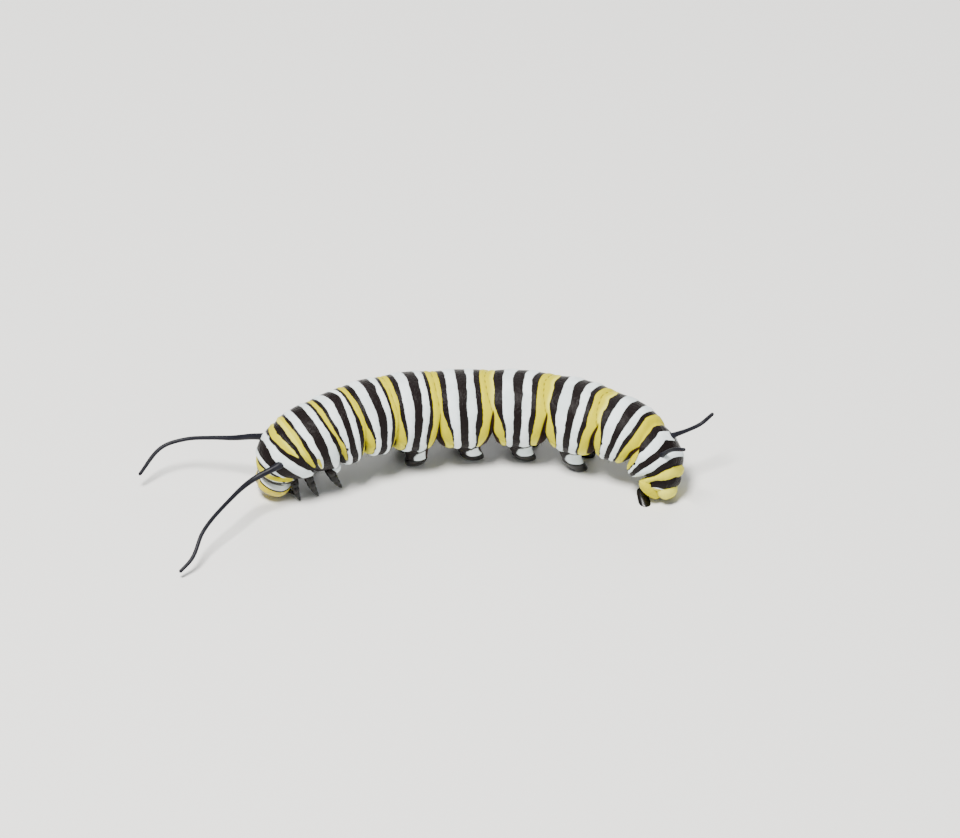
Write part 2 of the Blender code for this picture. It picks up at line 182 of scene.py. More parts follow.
# Black stripes of the segments that have all three: angle from the back, then where the front, the broad and
# the thin stripe start and end along the body.
STRIPES = (
    ((0, 2.90, 2.97, 3.29, 3.57, 3.725, 3.75), (15, 2.90, 2.96, 3.27, 3.53, 3.72, 3.745),
     (30, 2.90, 2.94, 3.23, 3.46, 3.71, 3.745), (45, 2.91, 2.98, 3.23, 3.44, 3.70, 3.78),
     (60, 2.94, 2.965, 3.22, 3.41, 3.69, 3.80), (75, 3.03, 3.03, 3.21, 3.41, 3.67, 3.78),
     (90, 3.06, 3.06, 3.18, 3.43, 3.67, 3.76), (100, 3.08, 3.08, 3.25, 3.49, 3.66, 3.70),
     (110, 3.10, 3.10, 3.27, 3.50, 3.68, 3.68), (125, 3.10, 3.10, 3.27, 3.50, 3.70, 3.70)),
    ((0, 3.96, 4.08, 4.35, 4.59, 4.74, 4.77), (15, 3.98, 4.08, 4.34, 4.55, 4.75, 4.78),
     (30, 4.01, 4.08, 4.35, 4.56, 4.765, 4.79), (45, 4.01, 4.10, 4.37, 4.58, 4.78, 4.80),
     (60, 4.03, 4.12, 4.37, 4.60, 4.785, 4.82), (75, 4.12, 4.17, 4.37, 4.57, 4.76, 4.81),
     (90, 4.18, 4.195, 4.39, 4.55, 4.72, 4.78), (100, 4.20, 4.20, 4.38, 4.56, 4.74, 4.78),
     (110, 4.18, 4.18, 4.36, 4.57, 4.73, 4.75), (125, 4.14, 4.14, 4.32, 4.50, 4.71, 4.71)),
    ((0, 5.02, 5.12, 5.36, 5.57, 5.72, 5.76), (15, 5.02, 5.12, 5.35, 5.55, 5.725, 5.76),
     (30, 5.04, 5.11, 5.35, 5.55, 5.73, 5.76), (45, 5.03, 5.11, 5.37, 5.53, 5.735, 5.765),
     (60, 5.03, 5.12, 5.35, 5.52, 5.72, 5.76), (75, 5.09, 5.14, 5.33, 5.51, 5.67, 5.74),
     (90, 5.14, 5.17, 5.33, 5.47, 5.63, 5.69), (100, 5.17, 5.17, 5.31, 5.45, 5.64, 5.66),
     (110, 5.15, 5.15, 5.31, 5.46, 5.66, 5.66), (125, 5.13, 5.13, 5.31, 5.47, 5.68, 5.68)),
    ((0, 6.02, 6.13, 6.36, 6.57, 6.72, 6.80), (15, 6.02, 6.13, 6.36, 6.53, 6.73, 6.81),
     (30, 6.02, 6.11, 6.38, 6.55, 6.75, 6.83), (45, 6.01, 6.12, 6.37, 6.52, 6.77, 6.84),
     (60, 6.03, 6.13, 6.38, 6.53, 6.78, 6.86), (75, 6.12, 6.17, 6.39, 6.56, 6.74, 6.85),
     (90, 6.20, 6.25, 6.41, 6.56, 6.74, 6.79), (100, 6.24, 6.24, 6.41, 6.56, 6.76, 6.76),
     (110, 6.26, 6.26, 6.44, 6.58, 6.76, 6.76), (125, 6.28, 6.28, 6.43, 6.58, 6.74, 6.74)),
    ((0, 7.09, 7.25, 7.46, 7.65, 7.82, 7.91), (15, 7.12, 7.27, 7.48, 7.65, 7.85, 7.925),
     (30, 7.13, 7.27, 7.52, 7.68, 7.88, 7.95), (45, 7.12, 7.28, 7.54, 7.68, 7.90, 7.965),
     (60, 7.20, 7.29, 7.55, 7.70, 7.91, 7.99), (75, 7.30, 7.35, 7.54, 7.71, 7.88, 7.96),
     (90, 7.35, 7.38, 7.55, 7.68, 7.87, 7.92), (100, 7.365, 7.365, 7.53, 7.67, 7.885, 7.885),
     (110, 7.375, 7.375, 7.53, 7.66, 7.87, 7.87), (125, 7.37, 7.37, 7.49, 7.63, 7.86, 7.86)),
    ((0, 8.20, 8.37, 8.55, 8.72, 8.87, 8.92), (15, 8.25, 8.38, 8.58, 8.72, 8.90, 8.95),
     (30, 8.24, 8.37, 8.61, 8.76, 8.91, 8.97), (45, 8.24, 8.38, 8.61, 8.75, 8.93, 8.97),
     (60, 8.31, 8.38, 8.61, 8.75, 8.93, 9.00), (75, 8.38, 8.43, 8.62, 8.74, 8.91, 8.96),
     (90, 8.42, 8.44, 8.60, 8.73, 8.90, 8.93), (100, 8.43, 8.43, 8.59, 8.72, 8.92, 8.92),
     (110, 8.435, 8.435, 8.60, 8.71, 8.88, 8.88), (125, 8.40, 8.40, 8.56, 8.66, 8.86, 8.86)),
    ((0, 9.19, 9.35, 9.55, 9.72, 9.85, 9.90), (15, 9.25, 9.36, 9.56, 9.72, 9.88, 9.925),
     (30, 9.23, 9.36, 9.58, 9.73, 9.90, 9.945), (45, 9.26, 9.37, 9.59, 9.73, 9.91, 9.965),
     (60, 9.34, 9.39, 9.61, 9.73, 9.90, 9.97), (75, 9.41, 9.44, 9.64, 9.75, 9.91, 9.95),
     (90, 9.45, 9.45, 9.63, 9.75, 9.91, 9.935), (100, 9.45, 9.45, 9.63, 9.74, 9.925, 9.935),
     (110, 9.46, 9.46, 9.63, 9.74, 9.91, 9.91), (125, 9.44, 9.44, 9.62, 9.72, 9.88, 9.88)),
    ((0, 10.18, 10.36, 10.63, 10.85, 11.23, 11.53), (15, 10.24, 10.42, 10.72, 10.94, 11.29, 11.59),
     (30, 10.27, 10.46, 10.78, 10.945, 11.32, 11.58), (45, 10.30, 10.49, 10.78, 10.98, 11.40, 11.64),
     (55, 10.36, 10.50, 10.80, 10.99, 11.50, 11.71), (60, 10.46, 10.46, 10.82, 10.99, 11.54, 11.73),
     (75, 10.61, 10.61, 10.79, 11.01, 11.53, 11.73), (90, 10.67, 10.67, 10.85, 11.04, 11.57, 11.70),
     (100, 10.70, 10.70, 10.88, 11.10, 11.60, 11.61), (125, 10.68, 10.68, 10.91, 11.09, 11.62, 11.62)),
)

# Other black stripes, and the painted shade in the clefts low down between the segments where the lobes part:
# angle from the back, start and end.
BLACK_MARKS = (
    ((0, -0.2, 0.22), (60, -0.2, 0.30), (75, -0.1, 0.41), (90, 0.12, 0.43), (100, 0.29, 0.68),
     (110, 0.3, 0.78), (125, 0.2, 0.7)),
    ((0, 0.72, 0.86), (15, 0.76, 0.86), (30, 0.78, 0.90), (60, 0.81, 0.97), (68, 0.92, 0.98)),
    ((0, 1.13, 1.39), (15, 1.12, 1.385), (30, 1.12, 1.315), (45, 1.12, 1.305), (52, 1.12, 1.34),
     (60, 1.09, 1.375), (75, 1.07, 1.355), (90, 1.12, 1.365), (100, 1.09, 1.36), (110, 1.02, 1.33),
     (120, 0.92, 1.27), (130, 0.75, 1.18)),
    ((0, 1.55, 1.595), (15, 1.57, 1.615), (30, 1.565, 1.64), (45, 1.59, 1.675), (60, 1.64, 1.775),
     (70, 1.68, 1.86), (75, 1.70, 1.905), (90, 1.78, 1.945), (100, 1.87, 2.00), (110, 1.90, 2.18),
     (125, 1.92, 2.3)),
    ((0, 1.775, 1.925), (15, 1.795, 1.915), (30, 1.82, 1.905), (45, 1.845, 1.925), (60, 1.85, 1.89),
     (75, 1.86, 1.90)),
    ((0, 2.10, 2.165), (15, 2.105, 2.14), (30, 2.11, 2.155), (45, 2.10, 2.175), (60, 2.09, 2.155),
     (75, 2.10, 2.20), (90, 2.09, 2.155), (100, 2.08, 2.145), (110, 2.06, 2.18), (125, 2.0, 2.2)),
    ((0, 2.35, 2.56), (30, 2.35, 2.57), (45, 2.37, 2.57), (60, 2.35, 2.57), (75, 2.36, 2.55),
     (90, 2.35, 2.52), (100, 2.32, 2.53), (110, 2.27, 2.55), (120, 2.20, 2.59), (130, 2.15, 2.62)),
    ((0, 2.73, 2.775), (30, 2.73, 2.775), (45, 2.76, 2.80), (60, 2.77, 2.86), (75, 2.80, 2.90),
     (90, 2.84, 2.92), (100, 2.82, 2.95), (110, 2.80, 3.01), (125, 2.75, 3.08)),
    ((0, 12.15, 12.81), (15, 12.23, 12.79), (30, 12.21, 12.79), (45, 12.19, 12.74), (60, 12.11, 12.56),
     (75, 12.13, 12.53), (90, 12.38, 12.56), (97, 12.46, 12.50)),
)
CLEFT_SHADE_MARKS = (
    ((85, 3.89, 3.90), (90, 3.86, 3.93), (100, 3.86, 3.96), (110, 3.82, 4.00), (125, 3.78, 4.03)),
    ((95, 4.90, 4.91), (100, 4.89, 4.93), (110, 4.82, 4.96), (125, 4.78, 4.99)),
    ((58, 5.95, 5.96), (75, 5.91, 5.95), (90, 5.88, 5.97), (100, 5.85, 6.00), (110, 5.80, 6.08),
     (125, 5.72, 6.12)),
    ((55, 7.09, 7.10), (60, 7.08, 7.13), (75, 7.04, 7.13), (90, 7.02, 7.11), (100, 6.99, 7.20),
     (110, 6.92, 7.24), (125, 6.82, 7.28)),
    ((55, 8.20, 8.21), (60, 8.19, 8.24), (75, 8.15, 8.22), (90, 8.11, 8.20), (100, 8.08, 8.25),
     (110, 8.04, 8.28), (125, 7.98, 8.31)),
    ((50, 9.24, 9.25), (60, 9.21, 9.27), (75, 9.16, 9.24), (90, 9.14, 9.25), (100, 9.13, 9.30),
     (110, 9.10, 9.33), (125, 9.06, 9.33)),
    ((50, 10.33, 10.36), (60, 10.28, 10.40), (75, 10.21, 10.36), (90, 10.21, 10.36), (100, 10.20, 10.37),
     (110, 10.18, 10.39), (125, 10.12, 10.38)),
)

# Yellow fields that don't lie between a thin stripe and the next front stripe.
YELLOW_MARKS = (
    ((0, 0.24, 0.72), (15, 0.30, 0.76), (45, 0.32, 0.72), (60, 0.45, 0.80), (75, 0.50, 1.03),
     (90, 0.60, 1.16), (100, 0.70, 1.10), (112, 0.84, 0.95)),
    ((0, 1.595, 1.775), (15, 1.615, 1.795), (30, 1.64, 1.82), (45, 1.675, 1.845), (60, 1.775, 1.85),
     (66, 1.84, 1.85)),
    ((0, 1.93, 2.10), (30, 1.905, 2.11), (45, 1.93, 2.10), (60, 1.89, 2.09), (75, 1.905, 2.10),
     (90, 1.945, 2.09), (100, 2.00, 2.08), (112, 2.04, 2.05)),
    ((82, 2.18, 2.27), (90, 2.165, 2.26), (110, 2.19, 2.24)),
    ((0, 2.775, 2.90), (30, 2.775, 2.90), (45, 2.80, 2.91), (60, 2.86, 2.94), (75, 2.90, 3.03),
     (90, 2.92, 3.06), (100, 2.95, 3.08), (112, 3.02, 3.10)),
    ((0, 11.53, 12.15), (15, 11.59, 12.23), (30, 11.58, 12.21), (45, 11.64, 12.19), (60, 11.73, 12.11),
     (75, 11.73, 12.13), (90, 11.70, 12.37), (100, 11.61, 12.5), (125, 11.62, 12.5)),
    ((50, 12.78, 13.0), (60, 12.70, 13.0), (75, 12.56, 13.0), (90, 12.57, 13.0), (125, 12.50, 13.0)),
)


def folded_place(s, a):
    """Places counted from fold to fold, for every place along the body and every angle."""
    lines = np.stack([np.interp(np.abs(a), FOLD_ANGLES, row) for row in FOLD_PLACES])
    return np.stack([np.interp(s, lines[:, k], np.arange(14)) for k in range(len(a))], axis=1)


def fold_relief(w, a):
    """Depth in millimetres of the folds, the gaps between the lobes and the creases on the low sides."""
    side = np.degrees(np.abs(a)) + 0 * w
    segment = np.clip(w.astype(int), 0, 12)
    u = w - segment
    nearest = np.round(w)
    length = SEGMENT_LENGTHS[np.clip(nearest.astype(int), 0, 12)]
    near = np.abs(w - nearest) * length
    trunk = smooth((w - 2.2) / 1.2) * smooth((11.6 - w) / 0.8)
    low = smooth((side - 52) / 46)
    depth = 0.06 + (0.16 + 0.34 * trunk) * low
    width = 0.11 + 0.13 * low
    groove = depth * np.exp(-((near / width) ** 1.5)) * (nearest < 13)
    lobes = 0.50 * trunk * smooth((side - 88) / 40) * np.abs(2 * u - 1) ** 2.8
    crease_line = 103 + (u - 0.08) * 40
    reach = smooth((u - 0.02) / 0.08) * smooth((0.44 - u) / 0.14) * (segment > 3) * (segment < 10)
    crease = 0.12 * reach * np.exp(-(((side - crease_line) / 2.6) ** 2))
    return groove + lobes + crease


EDGE_SOFTENING = (0.06, 0.12, 0.2, 0.24, 0.2, 0.12, 0.06)


def stripe_edges(rows, k, side):
    """Place along the body of one edge of a stripe at every angle, softly rounded where it turns."""
    edge = np.interp(side, np.radians([row[0] for row in rows]), [row[k] for row in rows])
    return np.convolve(np.pad(edge, 3, mode="edge"), EDGE_SOFTENING, mode="valid")


def between(starts, ends, arc, s, past=0.0):
    """Distance in millimetres inside a stripe (positive) or outside it (negative), all over the skin."""
    first, last = [np.array([np.interp(edge[k], s, arc[:, k], left=-1.0, right=arc[-1, k] + 1)
                             for k in range(arc.shape[1])]) for edge in (starts, ends)]
    return np.minimum(arc - first, last - arc) - past


def mark_distance(rows, arc, s, side):
    """The same for a stripe of its own, which fades beyond its first and last angle."""
    first, last = math.radians(rows[0][0]), math.radians(rows[-1][0])
    past = np.maximum(side - last, 0.0) if last < 2.1 else 0 * side
    if first > 0:
        past = past + np.maximum(first - side, 0.0)
    return between(stripe_edges(rows, 1, side), stripe_edges(rows, 2, side), arc, s, past * 3.5)


SEGMENT_LENGTHS = np.linalg.norm(np.diff(JOINTS, axis=0), axis=1)[1:]
# The mesh has a row of points every so many millimetres, and columns that crowd where the prolegs grow.
ROW_STEP = 0.112
COLUMNS = 200

row_counts = np.maximum(11, np.round(SEGMENT_LENGTHS / ROW_STEP).astype(int))
rows = np.concatenate([k + np.arange(n) / n for k, n in enumerate(row_counts)] + [[TAIL_TIP]])
fine_angles = np.linspace(-math.pi, math.pi, 2001)
crowding = 1 + 1.3 * np.exp(-(((np.abs(fine_angles) - math.radians(150)) / math.radians(20)) ** 2))
crowded = np.concatenate(((0,), np.cumsum((crowding[1:] + crowding[:-1]) / 2)))
columns = np.interp(np.linspace(0, crowded[-1], COLUMNS + 1), crowded, fine_angles)[:-1]
side = np.abs(columns)

places = folded_place(rows, columns)
plain = skin_point_at(rows[:, None], places, columns[None, :], 0.0)
arc = np.vstack((np.zeros((1, COLUMNS)), np.cumsum(np.linalg.norm(np.diff(plain, axis=0), axis=2), axis=0)))

# Distances in millimetres inside the fields of each colour, far outside them at first. The stripes are spread
# a little, and a black patch lies round each filament's root: its place, degrees from the back and radius.
OUTSIDE = -9.0
STRIPE_SPREAD = 0.05
THIN_STRIPE_SPREAD = 0.10
FILAMENT_ROOTS = {
    "front_filament_left": (1.26, 47, 0.42), "front_filament_right": (1.32, -44, 0.42),
    "rear_filament_left": (10.92, 24, 0.42), "rear_filament_right": (10.62, -33, 0.5),
}

black = np.full(arc.shape, OUTSIDE)
for table in STRIPES:
    for k in (1, 3, 5):
        stripe = between(stripe_edges(table, k, side), stripe_edges(table, k + 1, side), arc, rows)
        black = np.maximum(black, stripe + (THIN_STRIPE_SPREAD if k == 5 else STRIPE_SPREAD))
for mark in BLACK_MARKS:
    black = np.maximum(black, mark_distance(mark, arc, rows, side) + STRIPE_SPREAD)
for place, degrees, patch in FILAMENT_ROOTS.values():
    black = np.maximum(black, patch - np.linalg.norm(plain - plain_spot(place, degrees, 0.0), axis=2))
# Painted shade: dark in the clefts low down between the lobes, where the gaps would lie in shadow.
cleft_shade = np.full(arc.shape, OUTSIDE)
for mark in CLEFT_SHADE_MARKS:
    cleft_shade = np.maximum(cleft_shade, mark_distance(mark, arc, rows, side))
# Fine broken lines of painted shade along the folds on the back.
for joint in (5, 6, 7, 8, 9):
    line = 0.035 - np.abs(places - joint) * SEGMENT_LENGTHS[joint]
    gaps = 0.03 * (1 + np.sin(side * 31 + joint)) / 2
    cleft_shade = np.maximum(cleft_shade, line - 0.5 * smooth((side - 0.9) / 0.5) - gaps)
yellow = np.full(arc.shape, OUTSIDE)
for table, following in zip(STRIPES, STRIPES[1:]):
    field = between(stripe_edges(table, 6, side) - 0.01, stripe_edges(following, 1, side) + 0.01, arc, rows)
    yellow = np.maximum(yellow, field)
for mark in YELLOW_MARKS:
    yellow = np.maximum(yellow, mark_distance(mark, arc, rows, side))

# The light stripes stand a little proud of the black ones, and the prolegs are drawn out of the belly.
BLACK_DEPTH = 0.09
LIGHT_RISE = 0.075
WAVE_HEIGHT = 0.014
relief = LIGHT_RISE * smooth(-black / 0.26) - BLACK_DEPTH - fold_relief(places, columns[None, :])
relief += WAVE_HEIGHT * np.sin(arc * 2.7 + 2.0 * np.sin(3 * side)) * smooth((rows[:, None] - 0.5) / 1.0)
skin = skin_point_at(rows[:, None], places, columns[None, :], relief)

PROLEG_PLACES = (5.54, 6.60, 7.60, 8.60)
PROLEG_LEANS = (-0.25, 0.62, 0.68, 0.68)
PROLEG_ANGLE = math.radians(152)
PROLEG_SPREAD = 1.05
PROLEG_ROOT = (1.62, 1.22)
PROLEG_TOP = (1.16, 0.95)
PROLEG_SOLE = (0.82, 0.54)
PROLEG_EDGE = 0.92
PROLEG_PAINT_EDGE = 0.93
SOLE_SHARE = 0.36
LOWEST_SHARE = 0.97
PROLEG_GIRTH = ((0.0, 0.08, 0.22, 0.55, 0.80, 1.0), (1.0, 0.88, 0.93, 1.04, 0.97, 0.86))


def unit(v):
    """Vector of length one."""
    return v / np.linalg.norm(v, axis=-1, keepdims=True)


def proleg_axes(place, lean, sign):
    """Root, middle of the sole, ways along and across at the root, and level ways at the sole of a proleg."""
    s, a = np.array([place]), np.array([sign * PROLEG_ANGLE])
    root = skin_point_at(s, s, a, -0.1)[0]
    inner = skin_point_at(s, s, a + sign * 0.1, -0.1)[0]
    point, along, _, left = axes_at(place)
    level = unit(along * (1, 1, 0))
    out = unit(left * (1, 1, 0)) * sign
    sole = (point + out * PROLEG_SPREAD + level * lean) * (1, 1, 0)
    return root, sole, along, unit(inner - root), level, -out


def proleg_ring(axes, t, turn, size=1.0):
    """Points round a proleg at a share t of its way down to the sole, at angles round its axis."""
    root, sole, along, inner, level, inward = axes
    t = np.asarray(t)
    girth = np.interp(t, PROLEG_GIRTH[0], PROLEG_GIRTH[1])[..., None] * np.asarray(size)[..., None]
    t = t[..., None]
    middle = root * (1 - t) + sole * t - inward * 0.22 * 4 * t * (1 - t)
    ease = t * t * (3 - 2 * t)
    heading = along * (1 - ease) + level * ease
    across = inner * (1 - ease) + inward * ease
    length = (PROLEG_TOP[0] * (1 - ease) + PROLEG_SOLE[0] * ease) * girth
    width = (PROLEG_TOP[1] * (1 - ease) + PROLEG_SOLE[1] * ease) * girth
    return middle + heading * length * np.cos(turn)[..., None] + across * width * np.sin(turn)[..., None]


# Each proleg is black, with a white plate on its outer and rear side under a dark crease; the black of that
# crease is partly painted shade where the body's lobe overhangs.
for place, lean in zip(PROLEG_PLACES, PROLEG_LEANS):
    for sign in (1, -1):
        axes = proleg_axes(place, lean, sign)
        girth = skin_radius(np.array([place]), np.array([sign * PROLEG_ANGLE]))[0]
        x = (rows[:, None] - place) * SEGMENT_LENGTHS[int(place)] / PROLEG_ROOT[0]
        y = (sign * columns[None, :] - PROLEG_ANGLE) * girth / PROLEG_ROOT[1]
        reach = np.hypot(x, y)
        turn = np.arctan2(y + 0 * x, x + 0 * y)
        t = np.clip((PROLEG_EDGE - reach) / (PROLEG_EDGE - SOLE_SHARE), 0, LOWEST_SHARE)
        leg = proleg_ring(axes, t, turn)
        sole = proleg_ring(axes, LOWEST_SHARE + 0 * t, turn)
        middle = axes[1] + (axes[0] - axes[1]) * 0.03
        flat = middle + (sole - middle) * np.minimum(1, reach / SOLE_SHARE)[..., None]
        leg = np.where((reach < SOLE_SHARE)[..., None], flat, leg)
        share = smooth((1.0 - reach) / 0.26)[..., None]
        skin = skin * (1 - share) + leg * share
        plate = 0.40 * (1 - np.hypot((turn + 0.62) / 1.35, (t - 0.36) / 0.26))
        black = np.where(reach < PROLEG_PAINT_EDGE, -plate, black)
        yellow = np.where(reach < PROLEG_PAINT_EDGE, OUTSIDE, yellow)


def skin_spot(place, degrees):
    """Point of the finished skin nearest to a place and an angle, and its ways out and round the body."""
    i = int(np.clip(np.searchsorted(rows, place), 1, len(rows) - 2))
    j = int(np.argmin(np.abs(columns - math.radians(degrees))))
    round_way = skin[i, (j + 1) % COLUMNS] - skin[i, j - 1]
    return skin[i, j], unit(np.cross(round_way, skin[i + 1, j] - skin[i - 1, j])), unit(round_way)


def add_piece(name, points, faces, material):
    """Makes a smooth closed piece from points in millimetres, with its faces pointing out."""
    mesh = bpy.data.meshes.new(name)
    mesh.from_pydata((np.asarray(points) * MM).tolist(), [], faces)
    mesh.materials.append(material)
    work = bmesh.new()
    work.from_mesh(mesh)
    bmesh.ops.recalc_face_normals(work, faces=work.faces)
    work.to_mesh(mesh)
    work.free()
    mesh.shade_smooth()
    made = bpy.data.objects.new(name, mesh)
    bpy.context.scene.collection.objects.link(made)
    return made


def tube_faces(ring_count, points_round):
    """Faces of a tube of rings, with a fan to one more point at each end."""
    faces = []
    for i in range(ring_count - 1):
        for j in range(points_round):
            k = (j + 1) % points_round
            a, b = i * points_round, (i + 1) * points_round
            faces.append((a + j, a + k, b + k, b + j))
    pole = ring_count * points_round
    last = (ring_count - 1) * points_round
    faces += [(pole, (j + 1) % points_round, j) for j in range(points_round)]
    faces += [(pole + 1, last + j, last + (j + 1) % points_round) for j in range(points_round)]
    return faces


def ball_points(ring_count, points_round, gap):
    """Points of a ball of radius one in rings, the first and last a gap from its poles, which come last."""
    polar = np.linspace(gap, math.pi - gap, ring_count)[:, None]
    around = np.linspace(0, 2 * math.pi, points_round, endpoint=False)[None, :]
    level = np.cos(polar) + 0 * around
    ball = np.stack((np.sin(polar) * np.cos(around), np.sin(polar) * np.sin(around), level), axis=-1)
    return np.vstack((ball.reshape(-1, 3), (0, 0, 1), (0, 0, -1)))


def set_field(mesh, key, values):
    """Stores a number or a vector for every point of a mesh."""
    values = np.asarray(values, dtype=float)
    kind, part = ("FLOAT_VECTOR", "vector") if values.ndim == 2 else ("FLOAT", "value")
    mesh.attributes.new(key, kind, "POINT").data.foreach_set(part, values.ravel())


def with_poles(field):
    """Values of a field over a tube's rings, then for its two poles."""
    return np.concatenate((field.ravel(), (field[0, 0], field[-1, 0])))


def add_node(tree, kind, sockets=None, **settings):
    """Adds a node to a tree, with its settings, and its sockets set to values or linked from others."""
    made = tree.nodes.new(kind)
    for key, value in settings.items():
        setattr(made, key, value)
    for key, value in (sockets or {}).items():
        if isinstance(value, bpy.types.NodeSocket):
            tree.links.new(value, made.inputs[key])
        else:
            made.inputs[key].default_value = value
    return made


def blend(tree, share, low, high):
    """Colour between two others."""
    made = add_node(tree, "ShaderNodeMix", {0: share, 6: low, 7: high}, data_type="RGBA")
    return made.outputs[2]


def noise(tree, vector, scale, detail=3.0, roughness=0.5):
    """Noise from 0 to 1 on a vector."""
    sockets = {"Vector": vector, "Scale": scale, "Detail": detail, "Roughness": roughness}
    return add_node(tree, "ShaderNodeTexNoise", sockets).outputs["Fac"]


def ramp(tree, value, low, high, to_low=0.0, to_high=1.0):
    """A value eased from one range to another."""
    sockets = {0: value, 1: low, 2: high, 3: to_low, 4: to_high}
    return add_node(tree, "ShaderNodeMapRange", sockets, interpolation_type="SMOOTHSTEP").outputs[0]


def calculate(tree, operation, first, second=0.5, third=0.5):
    """One step of arithmetic on values."""
    sockets = {0: first, 1: second, 2: third}
    return add_node(tree, "ShaderNodeMath", sockets, operation=operation).outputs[0]


def add_bump(tree, shader, height, strength, distance):
    """Fine grain of a surface, from a height."""
    bump = add_node(tree, "ShaderNodeBump", {"Strength": strength, "Distance": distance, "Height": height})
    tree.links.new(bump.outputs[0], shader.inputs["Normal"])


def new_material(name, **constants):
    """A material with its tree, shader and Object coordinates; the constants name the shader's sockets."""
    made = bpy.data.materials.new(name)
    made.use_nodes = True
    tree = made.node_tree
    shader = tree.nodes["Principled BSDF"]
    for key, value in constants.items():
        shader.inputs[key.replace("_", " ")].default_value = value
    return made, tree, shader, tree.nodes.new("ShaderNodeTexCoord").outputs["Object"]


WHITE = (0.80, 0.88, 0.90, 1)
SHADED_WHITE = (0.66, 0.75, 0.76, 1)
YELLOW = (0.52, 0.460, 0.0, 1)
PALE_YELLOW = (0.72, 0.68, 0.08, 1)
BLACK = (0.0090, 0.0065, 0.0065, 1)
CLEFT_SHADE_BROWN = (0.020, 0.008, 0.004, 1)
STRIPE_RIM = (0.16, 0.10, 0.03, 1)
BELLY = (0.045, 0.042, 0.040, 1)

skin_look, tree, shader, place_in = new_material(
    "banded skin", IOR=1.40, Specular_IOR_Level=0.09, Subsurface_Weight=0.04, Subsurface_Scale=0.0004,
)
shader.inputs["Subsurface Radius"].default_value = (0.8, 0.6, 0.3)
given = {k: add_node(tree, "ShaderNodeAttribute", attribute_name=k) for k in
         ("black", "yellow", "cleft_shade", "belly", "pale", "ground")}
wobble = noise(tree, place_in, 1500.0, 3.0, 0.6)
black_in = calculate(tree, "ADD", given["black"].outputs["Fac"], -0.10)
black_in = calculate(tree, "MULTIPLY_ADD", wobble, 0.20, black_in)
yellow_in = calculate(tree, "ADD", given["yellow"].outputs["Fac"], 0.06)
yellow_in = calculate(tree, "MULTIPLY_ADD", wobble, -0.12, yellow_in)
blotch = noise(tree, place_in, 420.0, 4.0)
white = blend(tree, ramp(tree, blotch, 0.42, 0.62), WHITE, SHADED_WHITE)
paleness = calculate(tree, "MULTIPLY_ADD", blotch, 0.06, given["pale"].outputs["Fac"])
gold = blend(tree, paleness, YELLOW, PALE_YELLOW)
colour = blend(tree, ramp(tree, yellow_in, -0.05, 0.06), white, gold)
colour = blend(tree, ramp(tree, black_in, -0.08, -0.01, 0.0, 0.12), colour, STRIPE_RIM)
colour = blend(tree, ramp(tree, black_in, -0.03, 0.03), colour, BLACK)
# Painted shade: dark brown in the clefts and along the folds.
colour = blend(tree, ramp(tree, given["cleft_shade"].outputs["Fac"], -0.07, 0.06), colour, CLEFT_SHADE_BROWN)
colour = blend(tree, given["belly"].outputs["Fac"], colour, BELLY)
tree.links.new(colour, shader.inputs["Base Color"])
tree.links.new(ramp(tree, black_in, -0.05, 0.05, 0.42, 0.33), shader.inputs["Roughness"])
pores = noise(tree, place_in, 3400.0, 3.0, 0.6)
stretch = add_node(tree, "ShaderNodeVectorMath", {0: given["ground"].outputs["Vector"], 1: (3.2, 0.35, 0.0)},
                   operation="MULTIPLY").outputs[0]
wrinkles = noise(tree, stretch, 1.0, 3.0, 0.55)
grain = calculate(tree, "MULTIPLY_ADD", pores, ramp(tree, black_in, -0.05, 0.05, 0.30, 2.6), wrinkles)
add_bump(tree, shader, grain, 0.6, 0.00006)

front_pole = frame_at(np.array([-0.08]))[0]
tail_point, tail_way, tail_up, tail_left = axes_at(TAIL_TIP)
points = np.vstack((skin.reshape(-1, 3), front_pole, tail_point + 0.12 * tail_way))
skin_piece = add_piece("skin", points, tube_faces(len(rows), COLUMNS), skin_look)

side_degrees = np.degrees(side)[None, :] + 0 * arc
pale = 0.75 * smooth((side_degrees - 94) / 32)
for table in STRIPES[4:7]:
    front = stripe_edges(table, 1, side)
    to_front = -between(front, front + 0.001, arc, rows)
    pale = np.maximum(pale, smooth((0.55 - to_front) / 0.5) * smooth((62 - side_degrees) / 20))
pale = np.maximum(pale, 0.55 * smooth((places - 10.9) / 0.5))
pale = np.maximum(pale, 0.65 * (places > 1.9) * (places < 2.15) * smooth((80 - side_degrees) / 30))
belly = smooth((side_degrees - 147) / 12) * smooth((places - 0.6) / 0.5) * smooth((12.4 - places) / 0.4)
fields = {"black": black, "yellow": yellow, "cleft_shade": cleft_shade, "pale": pale, "belly": belly}
for key, field in fields.items():
    set_field(skin_piece.data, key, with_poles(field))
ground = np.stack((arc, side[None, :] * 3.6 + 0 * arc, 0 * arc), axis=-1).reshape(-1, 3)
set_field(skin_piece.data, "ground", np.vstack((ground, ground[0], ground[-1])))
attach(skin_piece, "root")
body_nodes = [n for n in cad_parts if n.startswith(("thorax", "abdomen", "proleg"))]
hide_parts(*body_nodes)


# Feet of the prolegs. Each proleg stands in a shiny black shoe of hard skin, whose inner edge carries a row
# of tiny hooks that grip what the larva walks on.
horn_look, tree, shader, place_in = new_material(
    "black shell", Roughness=0.22, IOR=1.5, Specular_IOR_Level=0.22)
blotch = noise(tree, place_in, 1300.0, 2.0)
colour = blend(tree, ramp(tree, blotch, 0.5, 0.75), (0.002, 0.002, 0.002, 1), (0.012, 0.007, 0.006, 1))
tree.links.new(colour, shader.inputs["Base Color"])
add_bump(tree, shader, noise(tree, place_in, 3600.0, 2.0), 0.10, 0.00003)

# Shares of the way down a proleg, and the sizes of the shoe's rings there.
SHOE_STEPS = ((0.50, 0.86), (0.50, 1.01), (0.53, 1.07), (0.62, 1.12), (0.78, 1.20), (0.90, 1.26),
              (0.96, 1.25), (0.99, 1.18), (1.0, 1.05))
SHOE_POINTS = 32
HOOKS_PER_FOOT = 22


